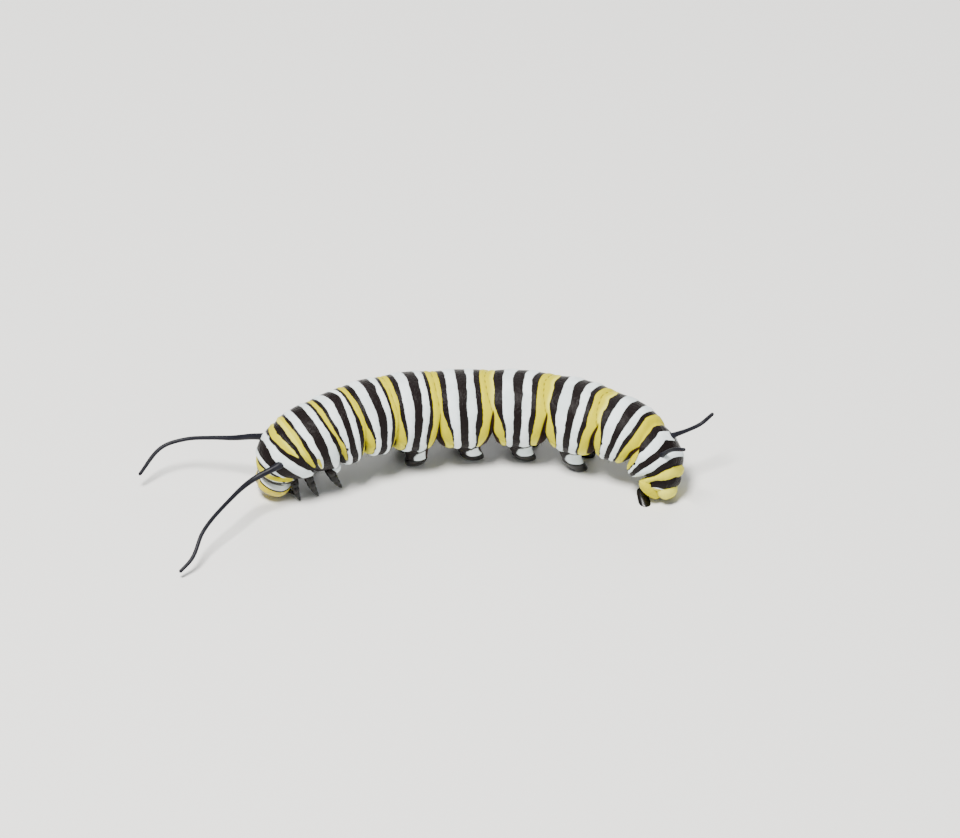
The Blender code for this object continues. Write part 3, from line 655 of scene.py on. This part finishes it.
def scatter(name, spots, template, material, spread, seed):
    """Copies of a small shape, set by Geometry Nodes on points that carry their way, turn and size."""
    points, ways, turns, sizes = [np.array(column, dtype=float) for column in zip(*spots)]
    mesh = bpy.data.meshes.new(name + "_points")
    mesh.from_pydata((points * MM).tolist(), [], [])
    for key, values in (("way", ways), ("turn", turns), ("size", sizes)):
        set_field(mesh, key, values)
    holder = bpy.data.objects.new(name + "_points", mesh)
    bpy.context.scene.collection.objects.link(holder)

    tree = bpy.data.node_groups.new(name, "GeometryNodeTree")
    tree.is_modifier = True
    sockets = {}
    tree.interface.new_socket("Geometry", in_out="INPUT", socket_type="NodeSocketGeometry")
    for key, kind in (("Shape", "Object"), ("Look", "Material"), ("Size spread", "Float"), ("Seed", "Int")):
        made = tree.interface.new_socket(key, in_out="INPUT", socket_type="NodeSocket" + kind)
        sockets[key] = made.identifier
    tree.interface.new_socket("Geometry", in_out="OUTPUT", socket_type="NodeSocketGeometry")
    given = tree.nodes.new("NodeGroupInput").outputs
    way, turn, size = [
        add_node(tree, "GeometryNodeInputNamedAttribute", {"Name": key}, data_type=kind).outputs[0]
        for key, kind in (("way", "FLOAT_VECTOR"), ("turn", "FLOAT_VECTOR"), ("size", "FLOAT"))]
    upright = add_node(tree, "FunctionNodeAlignRotationToVector", {"Vector": way}, axis="Z").outputs[0]
    turned = add_node(tree, "FunctionNodeAlignRotationToVector", {"Rotation": upright, "Vector": turn},
                      axis="Y", pivot_axis="Z").outputs[0]
    low = calculate(tree, "SUBTRACT", 1.0, given["Size spread"])
    high = calculate(tree, "ADD", 1.0, given["Size spread"])
    chance = add_node(tree, "FunctionNodeRandomValue", {2: low, 3: high, "Seed": given["Seed"]})
    scale = calculate(tree, "MULTIPLY", chance.outputs[1], size)
    shape = add_node(tree, "GeometryNodeObjectInfo", {"Object": given["Shape"]}).outputs["Geometry"]
    copies = add_node(tree, "GeometryNodeInstanceOnPoints", {
        "Points": given["Geometry"], "Instance": shape, "Rotation": turned, "Scale": scale}).outputs[0]
    solid = add_node(tree, "GeometryNodeRealizeInstances", {"Geometry": copies}).outputs[0]
    painted = add_node(tree, "GeometryNodeSetMaterial",
                       {"Geometry": solid, "Material": given["Look"]}).outputs[0]
    tree.links.new(painted, tree.nodes.new("NodeGroupOutput").inputs[0])

    modifier = holder.modifiers.new("scatter", "NODES")
    modifier.node_group = tree
    for key, value in (("Shape", template), ("Look", material), ("Size spread", spread), ("Seed", seed)):
        modifier[sockets[key]] = value
    evaluated = holder.evaluated_get(bpy.context.evaluated_depsgraph_get())
    made = bpy.data.objects.new(name, bpy.data.meshes.new_from_object(evaluated))
    bpy.context.scene.collection.objects.link(made)
    for thing in (holder, template):
        bpy.data.objects.remove(thing)
    return made


def tube_rings(path, radii, round_points):
    """Rings of points round a path, carried along it without twist."""
    ways = unit(np.gradient(path, axis=0))
    across = unit(np.cross(ways[0], (0.3, 0.2, 1.0)))
    turns = np.linspace(0, 2 * math.pi, round_points, endpoint=False)
    rings = []
    for point, way, radius in zip(path, ways, radii):
        across = unit(across - way * (across @ way))
        aside = np.cross(way, across)
        rings.append(point + radius * (np.outer(np.cos(turns), across) + np.outer(np.sin(turns), aside)))
    return np.array(rings)


def tapered_shape(name, path, radii, sides, material):
    """Small closed tube along a path in millimetres, with a point at each end."""
    rings = tube_rings(np.array(path, dtype=float), radii, sides)
    points = np.vstack((rings.reshape(-1, 3), path[0], path[-1]))
    return add_piece(name, points, tube_faces(len(path), sides), material)


hook_spots = []
for number, place, lean in zip((3, 4, 5, 6), PROLEG_PLACES, PROLEG_LEANS):
    for sign, word in ((1, "left"), (-1, "right")):
        axes = proleg_axes(place, lean, sign)
        turns = np.linspace(0, 2 * math.pi, SHOE_POINTS, endpoint=False)
        rings = [proleg_ring(axes, np.full(SHOE_POINTS, t), turns, np.array(size)) for t, size in SHOE_STEPS]
        points = np.vstack(rings + [rings[0].mean(axis=0), rings[-1].mean(axis=0)])
        faces = tube_faces(len(SHOE_STEPS), SHOE_POINTS)
        shoe = add_piece(f"shoe_{number}_{word}", points, faces, horn_look)
        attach(shoe, "root")
        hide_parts(f"proleg_{number}_{word}")
        for turn in np.linspace(0.15 * math.pi, 0.85 * math.pi, HOOKS_PER_FOOT):
            at = proleg_ring(axes, np.array([0.90]), np.array([turn]), np.array([1.16]))[0]
            away = unit(axes[5] * math.sin(turn) + axes[4] * math.cos(turn))
            hook_spots.append((at, away, (0, 0, 1), 1.0))

hook_path = [(0, 0.0, -0.04), (0, 0.0, 0.03), (0, -0.02, 0.08), (0, -0.06, 0.11), (0, -0.10, 0.11)]
hook_shape = tapered_shape("hook", hook_path, (0.018, 0.020, 0.018, 0.012, 0.004), 6, horn_look)
hooks = scatter("proleg_hooks", hook_spots, hook_shape, horn_look, 0.12, 3)
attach(hooks, "root")


# Legs of the thorax and last prolegs. The three pairs of true legs are jointed tubes of black shell, each on
# a soft lobe of the skin and ending in one claw. The last prolegs are wide black feet that clasp.

# For each leg: number of its segment, place along the body, degrees from the back, lean to the tail, spread
# and girth, then of its lobe the lift, the shift to the tail, the size, and where its black side begins.
LEGS = (
    (1, 0.32, 141, 0.10, 0.35, 0.85, (-0.10, 0, 0.75, -2.0)),
    (2, 1.50, 151, 0.70, 0.30, 0.95, (-0.10, 0, 0.90, -2.0)),
    (3, 2.56, 152, 1.15, 0.15, 1.00, (0.10, 0.34, 1.15, 0.35)),
)
# Shares of the way down a leg and its radii there; each of the dips is a joint.
LEG_PROFILE = ((0.0, 0.46), (0.10, 0.47), (0.20, 0.465), (0.26, 0.43), (0.29, 0.375), (0.32, 0.375),
               (0.36, 0.395), (0.44, 0.39), (0.50, 0.36), (0.535, 0.30), (0.56, 0.285), (0.60, 0.30),
               (0.67, 0.29), (0.72, 0.26), (0.755, 0.21), (0.78, 0.195), (0.81, 0.20), (0.87, 0.17),
               (0.92, 0.11), (0.96, 0.085), (1.0, 0.03))


def limb_path(root, sole, bow, shares):
    """Line from a root to a sole, bowed out on the way."""
    t = np.array(shares)[:, None]
    return root * (1 - t) + sole * t + bow * 4 * t * (1 - t)


for number, place, degrees, lean, spread, girth, _ in LEGS:
    for sign, word in ((1, "left"), (-1, "right")):
        _, along, _, left = axes_at(place)
        root = plain_spot(place, sign * degrees, -0.15)
        level, out = unit(along * (1, 1, 0)), unit(left * (1, 1, 0)) * sign
        outside = plain_spot(place, sign * degrees, 0.3)
        tip = (outside + level * lean + out * spread) * (1, 1, 0) + (0, 0, 0.05)
        shares, radii = np.array(LEG_PROFILE).T
        path = limb_path(root, tip, out * 0.26 - level * 0.16, shares)
        leg = tapered_shape(f"shell_leg_{number}_{word}", path, radii * girth, 20, horn_look)
        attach(leg, "root")
        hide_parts(f"leg_{number}_{word}")


LOBE_RINGS = 26
LOBE_POINTS = 40


def add_lobe(name, middle, half_axes, black_side, yellow_share, paleness):
    """Rounded lobe of skin: middle, three half axes, the side from which it is black, and its colour."""
    ball = ball_points(LOBE_RINGS, LOBE_POINTS, 0.08)
    points = middle + ball @ np.array(half_axes)
    lobe = add_piece(name, points, tube_faces(LOBE_RINGS, LOBE_POINTS), skin_look)
    flat = 0 * ball[:, 0]
    fields = {"black": ball @ np.array(black_side[:3]) - black_side[3], "yellow": flat + yellow_share - 0.5,
              "cleft_shade": flat + OUTSIDE, "pale": flat + paleness, "belly": flat, "ground": ball * 1.5}
    for key, field in fields.items():
        set_field(lobe.data, key, field)
    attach(lobe, "root")
    return lobe


for number, place, degrees, _, _, _, (lift, shift, size, black_start) in LEGS:
    for sign, word in ((1, "left"), (-1, "right")):
        point, along, _, _ = axes_at(place)
        root = plain_spot(place, sign * (degrees - 6), lift) + along * shift
        out = unit(root - point)
        round_way = unit(np.cross(out, along))
        axes = (along * 0.62 * size, round_way * 0.50 * size, out * 0.46 * size)
        add_lobe(f"leg_lobe_{number}_{word}", root, axes, (-1.0, 0.0, 0.35, black_start), 0.0, 0.0)

# The tail ends in a plate above and a lobe on each side over the last prolegs.
LAST_PROLEG = (12.42, 146)
FOOT_HALF = (0.62, 0.52)
FOOT_POINTS = 32
FOOT_STEPS = ((0.0, 0.5), (0.12, 0.80), (0.35, 0.98), (0.6, 1.0), (0.8, 1.03), (0.93, 1.04), (0.98, 1.0),
              (1.0, 0.93))

plate_middle = tail_point - tail_way * 0.16 + tail_up * 0.62
plate_axes = (tail_left * 1.10, tail_way * 1.02, tail_up * 0.86)
add_lobe("anal_plate", plate_middle, plate_axes, (-0.25, 0.90, 0.10, 0.80), 0.9, 1.0)
for sign, word in ((1, "left"), (-1, "right")):
    long_way = unit(tail_way * 0.62 - tail_left * sign * 0.78)
    across = unit(np.cross(long_way, tail_up))
    axes = (long_way * 1.50, across * 0.62, np.cross(long_way, across) * 0.66)
    middle = tail_point + tail_left * sign * 1.30 - tail_up * 0.25 - tail_way * 0.24
    add_lobe(f"tail_lobe_{word}", middle, axes, (1.0, 0.0, 0.0, 0.74), 1.0, 0.1)
    root = plain_spot(LAST_PROLEG[0], sign * LAST_PROLEG[1], 0.3)
    out = unit(tail_left * (1, 1, 0)) * sign
    level = unit(np.cross(out, (0, 0, 1)))
    sole = (root + out * 0.35 + (0.60, -1.05, 0)) * (1, 1, 0)
    root = root * (1, 1, 0.55)
    turns = np.linspace(0, 2 * math.pi, FOOT_POINTS, endpoint=False)
    oval = FOOT_HALF[0] * np.outer(np.cos(turns), level) + FOOT_HALF[1] * np.outer(np.sin(turns), out)
    rings = [root * (1 - t) + sole * t + size * oval for t, size in FOOT_STEPS]
    points = np.vstack(rings + [rings[0].mean(axis=0), rings[-1].mean(axis=0)])
    foot = add_piece(f"last_foot_{word}", points, tube_faces(len(FOOT_STEPS), FOOT_POINTS), horn_look)
    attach(foot, "root")
    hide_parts(f"anal_proleg_{word}")


# Head. A hard, glossy capsule of two rounded halves, tucked down under the thorax. It is yellow with black
# and white arcs, and the seam between its halves forks round the triangle above the mouth.
HEAD_HALF = (1.80, 1.82, 1.22)
HEAD_ROWS = 90
HEAD_COLUMNS = 120
MOUTH_LEVEL = -1.42

neck, neck_way, crown, head_left = axes_at(0.0)
forward = -neck_way
head_middle = neck + forward * (HEAD_HALF[2] + 0.03) - crown * 0.25


def head_point(f, c, s):
    """Point given by its ways forward out of the face, up to the crown and to the left, in millimetres."""
    f, c, s = [np.asarray(v)[..., None] for v in (f, c, s)]
    return head_middle + forward * f + crown * c + head_left * s


def head_surface(polar, around):
    """Ways forward, to the crown and left of the head's surface; polar 0 is the neck, around 0 the crown."""
    s = np.sin(around) * np.sin(polar)
    c = np.cos(around) * np.sin(polar)
    f = -np.cos(polar)
    seam = np.exp(-((around / 0.17) ** 2)) * np.sqrt(np.maximum(0.0, 1 - f * f))
    size = (1 + 0.04 * np.sin(around) ** 2) * (1 - 0.06 * seam)
    low = np.maximum(0.0, -c)
    across = HEAD_HALF[0] * s * size * (1 - 0.16 * low)
    upward = np.maximum(HEAD_HALF[1] * c * size * (1 - 0.08 * low), MOUTH_LEVEL + 0.0005 * c)
    return np.maximum(HEAD_HALF[2] * f * (1 + 0.06 * c), -HEAD_HALF[2] - 0.03), upward, across


polar = np.linspace(0.06, math.pi - 0.06, HEAD_ROWS)[:, None]
around = np.linspace(-math.pi, math.pi, HEAD_COLUMNS, endpoint=False)[None, :]
f, c, s = head_surface(polar, around)
shell = head_point(f, c, s)
poles = head_point(*head_surface(np.array([0.0, math.pi]), np.array([0.0, 0.0])))
# The face's triangle is white between black lines; arcs run round the head at these degrees from the neck.
BLACK_ARCS = ((0, 50), (71, 77), (106, 119))
WHITE_ARC = (50, 71)
MM_PER_DEGREE = 0.026
face = np.abs(s) + 0.62 * c
triangle = np.minimum(0.02 - face, c + 1.15)
face_lines = np.maximum(0.07 - np.abs(face - 0.06), 0.16 - np.abs(face - 0.62))
on_face = smooth((f - 0.2) / 0.3)
head_black = face_lines * on_face - (1 - on_face)
rings = np.degrees(polar) + 0 * around
for start, end in BLACK_ARCS:
    head_black = np.maximum(head_black, np.minimum(rings - start, end - rings) * MM_PER_DEGREE)
head_white = np.minimum(rings - WHITE_ARC[0], WHITE_ARC[1] - rings) * MM_PER_DEGREE
head_white = np.maximum(head_white, triangle * on_face - (1 - on_face))

HEAD_YELLOW = (0.54, 0.43, 0.0, 1)
HEAD_PALE_YELLOW = (0.70, 0.60, 0.10, 1)
HEAD_WHITE = (0.74, 0.78, 0.74, 1)
HEAD_BLACK = (0.012, 0.010, 0.012, 1)
SEAM_SHADE_BROWN = (0.10, 0.065, 0.008, 1)

head_look, tree, shader, place_in = new_material(
    "head shell", Roughness=0.25, IOR=1.45, Specular_IOR_Level=0.35)
black_in, white_in, seam_shade_in = [add_node(tree, "ShaderNodeAttribute", attribute_name=key).outputs["Fac"]
                               for key in ("black", "white", "seam")]
wobble = noise(tree, place_in, 1700.0, 2.0)
black_in = calculate(tree, "MULTIPLY_ADD", wobble, 0.10, calculate(tree, "ADD", black_in, -0.05))
blotch = noise(tree, place_in, 700.0, 3.0)
gold = blend(tree, ramp(tree, blotch, 0.45, 0.7), HEAD_YELLOW, HEAD_PALE_YELLOW)
colour = blend(tree, ramp(tree, white_in, -0.03, 0.03), gold, HEAD_WHITE)
colour = blend(tree, ramp(tree, black_in, -0.03, 0.03), colour, HEAD_BLACK)
# Painted shade in the groove of the seam.
colour = blend(tree, seam_shade_in, colour, SEAM_SHADE_BROWN)
tree.links.new(colour, shader.inputs["Base Color"])
add_bump(tree, shader, noise(tree, place_in, 4200.0, 2.0), 0.25, 0.00003)

head_piece = add_piece("head_capsule", np.vstack((shell.reshape(-1, 3), poles)),
                       tube_faces(HEAD_ROWS, HEAD_COLUMNS), head_look)
# Painted shade: the seam's groove is browned along its line, from 79 degrees from the neck onward.
seam = 0.75 * np.exp(-((around / 0.20) ** 2)) * smooth((rings - 79) / 4) * smooth((150 - rings) / 20)
for key, field in (("black", head_black), ("white", head_white), ("seam", seam)):
    set_field(head_piece.data, key, with_poles(field))
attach(head_piece, "root")
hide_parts("head")


# Eyes and mouthparts. All are hard black shell: six small round eyes low on each side of the head, a short
# jointed antenna beside each mandible, the upper lip, two mandibles, and two palps and the spinneret below.
def dome(name, middle, half_axes, material, power=1.0):
    """Small closed rounded piece: its middle and three half axes; a power below 1 squares it off."""
    ball = ball_points(14, 24, 0.12)
    ball = np.sign(ball) * np.abs(ball) ** power
    return add_piece(name, middle + ball @ np.array(half_axes), tube_faces(14, 24), material)


def head_axes(f, c, s):
    """Three half axes along the head's own directions."""
    return forward * f, crown * c, head_left * s


# Degrees from the neck, degrees from the crown, and radius of each eye.
STEMMATA = ((124, 98, 0.085), (134, 108, 0.09), (141, 120, 0.09), (143, 133, 0.085), (128, 132, 0.08),
            (118, 118, 0.08))
FEELER_STEPS = np.array((0.0, 0.16, 0.20, 0.24, 0.42, 0.46, 0.50, 0.60, 0.66))
FEELER_RADII = (0.20, 0.20, 0.15, 0.16, 0.15, 0.10, 0.10, 0.09, 0.03)
PALP_STEPS = (0.0, 0.15, 0.20, 0.32, 0.38, 0.46)
PALP_RADII = (0.16, 0.15, 0.11, 0.11, 0.07, 0.03)
SPINNERET_STEPS = (0.0, 0.2, 0.35, 0.5, 0.58)
SPINNERET_RADII = (0.24, 0.22, 0.14, 0.08, 0.04)
for sign, word in ((1, "left"), (-1, "right")):
    eye_spots = []
    for polar_degrees, around_degrees, size in STEMMATA:
        spot = (np.array([math.radians(polar_degrees)]), np.array([math.radians(sign * around_degrees)]))
        at = head_point(*head_surface(*spot))[0]
        away = unit(at - head_middle)
        eye_spots.append((at, away, crown, size))
    eye_shape = dome("eye", np.zeros(3), np.eye(3) * (1, 1, 0.75), horn_look)
    eyes = scatter(f"stemmata_{word}", eye_spots, eye_shape, horn_look, 0.0, 1)
    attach(eyes, "root")

    root = head_point(0.25, -1.30, sign * 1.10)
    away = unit(head_left * sign * 0.80 - crown * 0.60)
    path = root + np.outer(FEELER_STEPS, away)
    antenna = tapered_shape(f"feeler_{word}", path, FEELER_RADII, 16, horn_look)
    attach(antenna, "root")
    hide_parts(f"antenna_{word}")
    middle = head_point(0.10, -1.88, sign * 0.34)
    jaw = dome(f"jaw_{word}", middle, head_axes(0.30, 0.32, 0.27), horn_look, 0.8)
    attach(jaw, "root")
    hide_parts(f"mandible_{word}")
    path = [head_point(-0.42, -1.45 - d, sign * (0.30 + 0.1 * d)) for d in PALP_STEPS]
    palp = tapered_shape(f"palp_{word}", path, PALP_RADII, 12, horn_look)
    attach(palp, "root")
lip = dome("upper_lip", head_point(0.56, -1.74, 0.0), head_axes(0.26, 0.28, 0.52), horn_look, 0.75)
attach(lip, "root")
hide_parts("labrum")
path = [head_point(-0.30, -1.40 - d, 0.0) for d in SPINNERET_STEPS]
spinneret = tapered_shape("spinneret", path, SPINNERET_RADII, 14, horn_look)
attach(spinneret, "root")


# Breathing holes and fine hairs. An oval black spiracle with a raised rim lies low on each side of the first
# segment of the thorax and the first eight of the abdomen. Short stiff hairs grow on the head and the belly.

# Half lengths of a spiracle's oval rings and their heights over the skin.
RIM_STEPS = ((0.20, -0.06), (0.20, 0.025), (0.17, 0.045), (0.12, 0.02), (0.05, 0.005))
RIM_POINTS = 20
HOLE_DEGREES = 83

turns = np.linspace(0, 2 * math.pi, RIM_POINTS, endpoint=False)
rim_points = [np.stack((radius * 0.62 * np.cos(turns), radius * np.sin(turns), 0 * turns + height), axis=-1)
              for radius, height in RIM_STEPS]
rim_points = np.vstack(rim_points + [(0, 0, RIM_STEPS[0][1]), (0, 0, RIM_STEPS[-1][1])])
rim_shape = add_piece("rim", rim_points, tube_faces(len(RIM_STEPS), RIM_POINTS), horn_look)
low = np.array([math.radians(HOLE_DEGREES)])
hole_places = [0.62] + [(stripe_edges(table, 1, low)[0] + stripe_edges(table, 2, low)[0]) / 2
                        for table in STRIPES]
hole_spots = [skin_spot(place, sign * HOLE_DEGREES) + (0.8,) for sign in (1, -1) for place in hole_places]
holes = scatter("spiracles", hole_spots, rim_shape, horn_look, 0.05, 5)
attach(holes, "root")

BELLY_HAIRS = 520
HEAD_HAIRS = 70

hair_look = new_material("hair", Roughness=0.5, Base_Color=(0.03, 0.022, 0.018, 1))[0]
chance = np.random.default_rng(7)
hair_spots = []
for place, degrees in zip(chance.uniform(0.4, 12.6, BELLY_HAIRS), chance.uniform(118, 178, BELLY_HAIRS)):
    at, away, round_way = skin_spot(place, degrees * chance.choice((-1, 1)))
    hair_spots.append((at, unit(away + chance.normal(0, 0.25, 3)), round_way, chance.uniform(0.16, 0.34)))
for down, turn in zip(chance.uniform(1.7, 2.9, HEAD_HAIRS), chance.uniform(-3.1, 3.1, HEAD_HAIRS)):
    at = head_point(*head_surface(np.array([down]), np.array([turn])))[0]
    away = unit(at - head_middle + chance.normal(0, 0.2, 3))
    hair_spots.append((at, away, crown, chance.uniform(0.12, 0.26)))
hair_spots = [spot for spot in hair_spots if spot[0][2] + spot[1][2] * spot[3] > 0.05]
hair_shape = tapered_shape("hair", [(0, 0, -0.1), (0, 0.0, 0.3), (0, 0.04, 0.7), (0, 0.12, 1.0)],
                           (0.035, 0.032, 0.022, 0.006), 5, hair_look)
hairs = scatter("fine_hairs", hair_spots, hair_shape, hair_look, 0.2, 9)
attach(hairs, "root")


# Filaments. Soft, slate-black horns of skin, thick at the root and blunt at the tip: a long pair on the
# second segment of the thorax and a short pair on the eighth of the abdomen.

# Radius at the root, and the points the filament passes, before the shift to the frame's origin.
FILAMENTS = (
    ("front_filament_left", 0.32,
     ((-20.2, -9.6, 4.4), (-22.3, -12.2, 4.0), (-24.6, -15.4, 2.9), (-25.6, -17.6, 1.5),
      (-26.7, -18.6, 0.75))),
    ("front_filament_right", 0.32,
     ((-22.2, -3.6, 4.7), (-24.1, -3.2, 4.4), (-26.6, -2.8, 3.9), (-28.7, -3.3, 3.4), (-30.9, -5.2, 1.5))),
    ("rear_filament_left", 0.27, ((18.75, -7.7, 6.5), (19.9, -8.8, 7.4))),
    ("rear_filament_right", 0.28, ((20.4, -3.5, 5.6), (21.5, -2.9, 5.8), (22.7, -2.4, 6.7))),
)
TIP_RADIUS = 0.19
ROOT_FLARE = 0.12
FILAMENT_POINTS = 24

filament_look, tree, shader, place_in = new_material(
    "filament skin", Roughness=0.38, IOR=1.42, Specular_IOR_Level=0.16)
blotch = noise(tree, place_in, 900.0, 3.0)
colour = blend(tree, blotch, (0.005, 0.005, 0.008, 1), (0.014, 0.014, 0.020, 1))
tree.links.new(colour, shader.inputs["Base Color"])
add_bump(tree, shader, noise(tree, place_in, 5000.0, 2.0), 0.4, 0.00004)

for name, base, knots in FILAMENTS:
    place, degrees, _ = FILAMENT_ROOTS[name]
    root = plain_spot(place, degrees, 0.12)
    out = unit(root - axes_at(place)[0])
    knots = np.vstack((root, np.array(knots) + TO_ORIGIN))
    tangents = line_tangents(knots)
    tangents[0] = unit(out * 0.18 + unit(knots[1] - root))
    path = smooth_line(knots, tangents, np.linspace(0, len(knots) - 1.0001, 26 * (len(knots) - 1)))
    start = np.array([root - unit(knots[1] - root + out) * d for d in (0.9, 0.6, 0.3)])
    path = np.vstack((start, path))
    reached = np.concatenate(((0,), np.cumsum(np.linalg.norm(np.diff(path, axis=0), axis=1))))
    t = reached / reached[-1]
    radii = base + (TIP_RADIUS - base) * smooth(t / 0.5) + ROOT_FLARE * smooth((1.2 - reached) / 0.9)
    radii = radii * (1 - 0.12 * smooth((t - 0.86) / 0.12))
    to_tip = reached[-1] - reached
    radii = radii * np.sqrt(np.clip(1 - np.maximum(0, 1 - to_tip / 0.17) ** 2, 0.02, 1))
    piece = tapered_shape("skin_of_" + name, path, radii, FILAMENT_POINTS, filament_look)
    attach(piece, "root")
    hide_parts(name)


# Floor, light and camera. The larva stands on a plain pale floor under large soft lamps, and the camera looks
# at its left side from 38 degrees above the floor.
floor_look = new_material("floor", Roughness=0.7, Base_Color=(0.80, 0.80, 0.78, 1))[0]
floor_mesh = bpy.data.meshes.new("floor")
floor_mesh.from_pydata([(-1.5, -1.5, 0), (1.5, -1.5, 0), (1.5, 1.5, 0), (-1.5, 1.5, 0)], [], [(0, 1, 2, 3)])
floor_mesh.materials.append(floor_look)
floor = bpy.data.objects.new("floor", floor_mesh)
bpy.context.scene.collection.objects.link(floor)

AIM = Vector((0.005045, 0.00607, 0.005))
RISE = math.radians(38)
DISTANCE = 0.700
VIEW_WIDTH = 0.0897

camera_data = bpy.data.cameras.new("camera")
camera_data.lens = camera_data.sensor_width * DISTANCE / VIEW_WIDTH
camera_data.clip_start = 0.01
camera_data.clip_end = 10.0
camera = bpy.data.objects.new("camera", camera_data)
camera.location = AIM + DISTANCE * Vector((0, -math.cos(RISE), math.sin(RISE)))
camera.rotation_euler = (math.pi / 2 - RISE, 0, 0)
bpy.context.scene.collection.objects.link(camera)
bpy.context.scene.camera = camera


def add_lamp(name, place, size, power, colour):
    """Square soft lamp that faces the middle of the larva."""
    data = bpy.data.lights.new(name, "AREA")
    data.size = size
    data.energy = power
    data.color = colour
    lamp = bpy.data.objects.new(name, data)
    lamp.location = place
    lamp.rotation_euler = (Vector(place) - AIM).to_track_quat("Z", "Y").to_euler()
    bpy.context.scene.collection.objects.link(lamp)


add_lamp("key lamp", (-0.10, -0.12, 0.45), 0.14, 6.3, (1.0, 0.98, 0.95))
add_lamp("fill lamp", (0.35, -0.40, 0.20), 0.30, 0.8, (0.95, 0.98, 1.0))
add_lamp("back lamp", (0.10, 0.42, 0.30), 0.25, 0.9, (1.0, 1.0, 1.0))
world = bpy.data.worlds.new("studio")
world.use_nodes = True
sky = world.node_tree.nodes["Background"]
sky.inputs["Color"].default_value = (0.9, 0.93, 1.0, 1)
sky.inputs["Strength"].default_value = 0.20
bpy.context.scene.world = world
